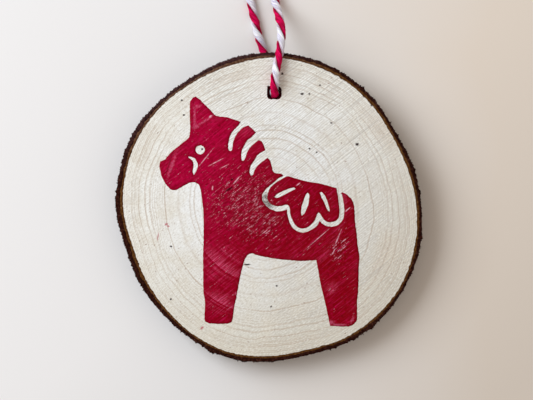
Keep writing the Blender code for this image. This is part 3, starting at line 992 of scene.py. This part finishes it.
def ring_profile(side_points, top_points):
    """Points round a ring's cross-section: share across, share up, and which way is out."""
    outside = [(1.0, (k + 0.5) / side_points, 1.0, 0.0) for k in range(side_points)]
    top = [(1 - k / top_points, 1.0, 0.0, 1.0) for k in range(top_points + 1)]
    top[0] = (0.97, 0.985, 0.7, 0.7)
    below = [(0.0, 0.0, 0.0, 0.0), (0.5, 0.0, 0.0, -0.1), (0.96, 0.01, 0.6, 0.0)]
    return below + outside + top + [(0.0, 0.5, 0.0, 0.0)]


def radius_by_angle(points):
    """A function that gives the radius of a round outline at an angle."""
    spokes = sorted((math.atan2(p.y, p.x), p.xy.length) for p in points)
    angles, radii = zip(*spokes)
    return lambda angle: float(np.interp(angle, angles, radii, period=2 * math.pi))


def make_bark():
    bark = [FLATTEN @ (v.co / MM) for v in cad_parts["bark_ring"].data.vertices]
    shoulder = BARK_SHOULDER * THICKNESS
    bark_edge = radius_by_angle([p for p in bark if abs(p.z - shoulder) < 0.05])
    wood_edge = radius_by_angle(WOOD_RIM)

    def inner_edge(angle):
        x, y = math.cos(angle), math.sin(angle)
        share = 0.44 + 0.05 * x + 0.06 * y + 0.15 * noise_at(22 * x, 22 * y, 4.0)
        return wood_edge(angle) + (bark_edge(angle) - wood_edge(angle)) * share

    def outer_edge(angle):
        wave = 0.07 * noise_at(14 * math.cos(angle), 14 * math.sin(angle), 8.0)
        return bark_edge(angle) - 0.05 + wave + lump_at(angle) + plate_at(angle)

    def crumbs(at, across, up):
        rough = 0.14 * noise_at(at.x * 0.8, at.y * 0.8, at.z * 0.35)
        fine = 0.2 * noise_at(at.x * 1.7, at.y * 1.7, at.z * 1.1, 2)
        grit = max(0.0, noise_at(at.x * 2.9, at.y * 2.9, at.z * 2.0 + 60, 2))
        if up > 0.9:
            return 0.5 * (rough + fine) + 0.2 * grit - 0.1 - 0.3 * across**3
        return rough + fine + 0.55 * grit - 0.1

    def smooth_crumbs(at, across, up):
        return -0.06 + 0.09 * noise_at(at.x * 1.6, at.y * 1.6, at.z)

    dark = bark_material(
        "outer_bark", (0.008, 0.002, 0.0015), (0.030, 0.007, 0.004), (0.12, 0.045, 0.030),
        (0.10, 0.045, 0.048), 1.5)
    brown = bark_material(
        "inner_bark", (0.048, 0.014, 0.003), (0.115, 0.045, 0.011), (0.25, 0.14, 0.06),
        (0.22, 0.13, 0.10), 1.9)
    outer = ring_solid(
        "outer_bark", inner_edge, outer_edge, crumbs, BARK_STEPS, ring_profile(16, 8), dark)
    inner = ring_solid(
        "inner_bark", lambda a: wood_edge(a) + 0.08, lambda a: inner_edge(a) + 0.12,
        smooth_crumbs, BARK_STEPS, ring_profile(4, 4), brown)
    finish_piece(outer, "slice", "bark", "bark_ring")
    finish_piece(inner, "slice", "bark")


# ---------------- ink

INK_HEIGHT = 0.06
INK_SUNK = 0.03
INK_GROWN = 0.1
INK_SPACING = 0.45
INK_SEED = 11
TICK_TURN = 40.0

# Where the stamp left little ink, and what scraped it, as marks.
SCRATCHES = [
    (12.25, -7.7, 3.7, 0.10, 41), (17.3, -7.6, 2.2, 0.13, 68), (16.2, -11.0, 0.8, 0.11, 60),
    (18.6, -10.2, 0.9, 0.1, 41), (17.7, -12.4, 0.7, 0.1, 41), (18.8, -8.2, 0.7, 0.1, 41),
    (-14.4, 5.1, 0.55, 0.15, 80), (-16.2, 12.6, 2.85, 0.1, 51), (-13.45, 11.65, 2.0, 0.12, 28),
    (-11.3, 10.6, 1.2, 0.08, 28), (-8.3, 7.1, 1.2, 0.16, 50), (-14.9, 23.1, 0.4, 0.22, 40),
    (19.7, -0.4, 0.9, 0.13, 40), (7.2, 6.0, 0.6, 0.14, 40),
]
PALE_SPOTS = [
    (-18.3, 25.6, 0.9, 0.4, 20), (-18.5, 20.6, 0.9, 0.45, 25), (-16.6, 21.8, 2.2, 0.22, 30),
    (-18.9, 23.0, 0.25, 2.4, 0), (-24.7, 10.6, 2.9, 0.3, 70), (15.7, -29.1, 0.7, 0.55, 0),
    (-8.4, -21.6, 0.5, 0.3, 40), (21.0, -28.4, 0.7, 0.3, 60), (17.0, -29.6, 2.2, 0.25, 0),
]
GOUGES = [(-10.2, 4.8, 1.1, 0.26, 32), (-9.5, 7.2, 0.28, 0.22, 0)]
TICKED = [(-6.0, 1.5, 8.2, 7.0, 0), (-2.5, -3.5, 7.0, 4.0, 0), (17.6, -10.2, 2.2, 2.6, 0)]
DRY_BANDS = [(-12.0, -14.0, 4.4, 4.0, 0), (-12.4, -23.4, 3.4, 2.6, 0), (15.3, -19.8, 1.6, 1.6, 0)]
# Growth rings that show through the ink: radius, and how far inside it the ink is thin.
INK_RINGS = [(20.2, 3.4), (27.4, 2.6)]
DARK_LINES = [(-25.4, 10.9, 3.3, 0.15, 71), (-24.6, 13.6, 1.0, 0.12, 40)]


def ink_material():
    n = Nodes("printed_ink")
    ring = n.attribute("ring")
    rightwards, _ = n.across_and_along(n.flat((1 / 50, 1 / 50, 0.0), 25.0))
    rightwards = n.plus(rightwards, 0.5)
    cool = (0.40, 0.0003, 0.036)
    plain = (0.265, 0.0003, 0.010)
    warm = (0.225, 0.0003, 0.0025)
    colour = n.ramp(rightwards, [(0.1, cool), (0.45, plain), (0.9, warm)])
    cloud = n.mottle(0.25, 4.0, 0.65)
    colour = n.mix(n.rising(cloud, 0.4, 0.66, 0.4), colour, (0.25, 0.0005, 0.008))
    mottle = n.mottle(1.3, 4.0, 0.7)
    colour = n.mix(n.rising(mottle, 0.44, 0.7, 0.6), colour, (0.18, 0.0005, 0.006))
    colour = n.mix(n.ramp(mottle, [(0.30, 0.5), (0.44, 0.0)]), colour, (0.52, 0.002, 0.060))
    rim = n.ramp(n.math("DIVIDE", n.attribute("edge"), 1.2), [(0.0, 1.0), (0.35, 0.75), (1.0, 0.0)])
    colour = n.mix(n.times(rim, 0.5), colour, (0.20, 0.0005, 0.008))
    dry = n.marks(DRY_BANDS, 0.5, 1.0)
    bands = n.rising(n.noise(ring, 1.3, 3.0, 0.6, one_way=True), 0.44, 0.6, 0.4)
    for radius, reach in INK_RINGS:
        band = n.math("DIVIDE", n.math("SUBTRACT", ring, radius - reach), reach)
        bands = n.math("MAXIMUM", bands, n.ramp(band, [(0.1, 0.0), (0.97, 1.0), (1.0, 0.0)]))
        dark = n.ramp(band, [(0.97, 0.0), (1.0, 1.0), (1.12, 0.6), (1.3, 0.0)])
        colour = n.mix(n.times(n.times(dark, dry), 0.6), colour, (0.15, 0.0005, 0.006))
    patches = n.rising(n.mottle(0.11), 0.45, 0.7, 0.3)
    worn = n.times(bands, n.math("MAXIMUM", patches, dry))
    colour = n.mix(n.times(worn, 0.5), colour, (0.56, 0.03, 0.10))
    saw = n.strokes(0.16, 3.3, 3.0, 0.7)
    grit = n.mottle(2.6, 2.0, 0.6)
    inside = n.ramp(rim, [(0.2, 1.0), (0.8, 0.1)])
    lined = n.times(n.rising(saw, 0.52, 0.66), inside)
    colour = n.mix(n.times(lined, 0.45), colour, (0.58, 0.010, 0.10))
    colour = n.mix(n.ramp(saw, [(0.34, 0.7), (0.46, 0.0)]), colour, (0.18, 0.0003, 0.006))
    hatch = n.times(n.rising(saw, 0.48, 0.58), worn)
    colour = n.mix(n.times(hatch, 0.7), colour, (0.70, 0.14, 0.26))
    tick = n.strokes(0.36, 5.4, 1.0, 0.5, TICK_TURN)
    ticked = n.times(n.marks(TICKED, 0.6, 0.9), 0.13)
    tick = n.rising(n.plus(tick, ticked), 0.70, 0.74)
    tick = n.times(tick, n.rising(grit, 0.47, 0.56))
    pits = n.rising(n.plus(grit, n.times(ticked, 0.6)), 0.70, 0.78)
    colour = n.mix(n.times(pits, 0.5), colour, (0.60, 0.10, 0.20))
    pooled = n.strokes(1.0, 2.6, 2.0, 0.6, TICK_TURN)
    pooled = n.rising(n.plus(pooled, ticked), 0.58, 0.66)
    colour = n.mix(n.times(pooled, 0.6), colour, (0.13, 0.0003, 0.004))
    broken = n.ramp(n.mottle(1.4, 2.0), [(0.38, 0.25), (0.52, 1.0)])
    pale = n.times(n.marks(PALE_SPOTS, 0.7, 1.0), broken)
    colour = n.mix(n.times(pale, 0.35), colour, (0.72, 0.16, 0.30))
    colour = n.mix(n.times(n.marks(DARK_LINES, 0.4), 0.55), colour, (0.10, 0.0003, 0.004))
    scraped = n.times(n.marks(SCRATCHES, 0.3), broken)
    scraped = n.math("MAXIMUM", scraped, n.times(tick, inside))
    colour = n.mix(n.times(scraped, 0.8), colour, (0.76, 0.40, 0.50))
    colour = n.mix(n.times(n.marks(GOUGES, 0.3), 0.9), colour, (0.035, 0.0005, 0.003))
    normal = n.bump(mottle, 0.04, 0.8)
    normal = n.bump(saw, 0.03, 0.8, normal)
    return n.finish(colour, 0.6, 0.02, normal)


def make_print(name, node, material, seed):
    loops = [refined(loop, 3) for loop in flat_loops(node, PRINT_TOP)]
    loops = [ragged(loop, 0.08, 0.55, seed, INK_GROWN) for loop in loops]
    flat, faces, rims = filled(loops, INK_SPACING, INK_SEED)
    edge_points = np.vstack(loops)
    edge = [float(np.min(np.sum((edge_points - np.array(p)) ** 2, axis=1)) ** 0.5) for p in flat]
    points = []
    for at, reach in zip(flat, edge):
        bead = 0.03 * math.exp(-(((reach - 0.3) / 0.22) ** 2))
        lift = INK_HEIGHT * smoothstep(-0.05, 0.25, reach) + bead
        lift += 0.008 * noise_at(at.x * 1.5, at.y * 1.5, seed)
        points.append(Vector((at.x, at.y, THICKNESS + wood_relief(at.x, at.y) + lift)))
    sunk = [Vector((p.x, p.y, THICKNESS - INK_SUNK)) for p in points]
    fields = {
        "edge": edge * 2, "ring": [ring_at(p.x, p.y) for p in flat] * 2, "flat": points + sunk,
    }
    placed = [SLICE @ p for p in points + sunk]
    solid = slab(faces, len(points), rims)
    piece = make_piece(name, placed, solid, [material], attributes=fields)
    finish_piece(piece, "slice", "ink", node)


make_camera()
make_stage()
make_twine()
make_wood()
make_bark()
ink = ink_material()
make_print("horse_ink", "horse_print", ink, 21.0)
make_print("saddle_ink", "saddle_print", ink, 22.0)
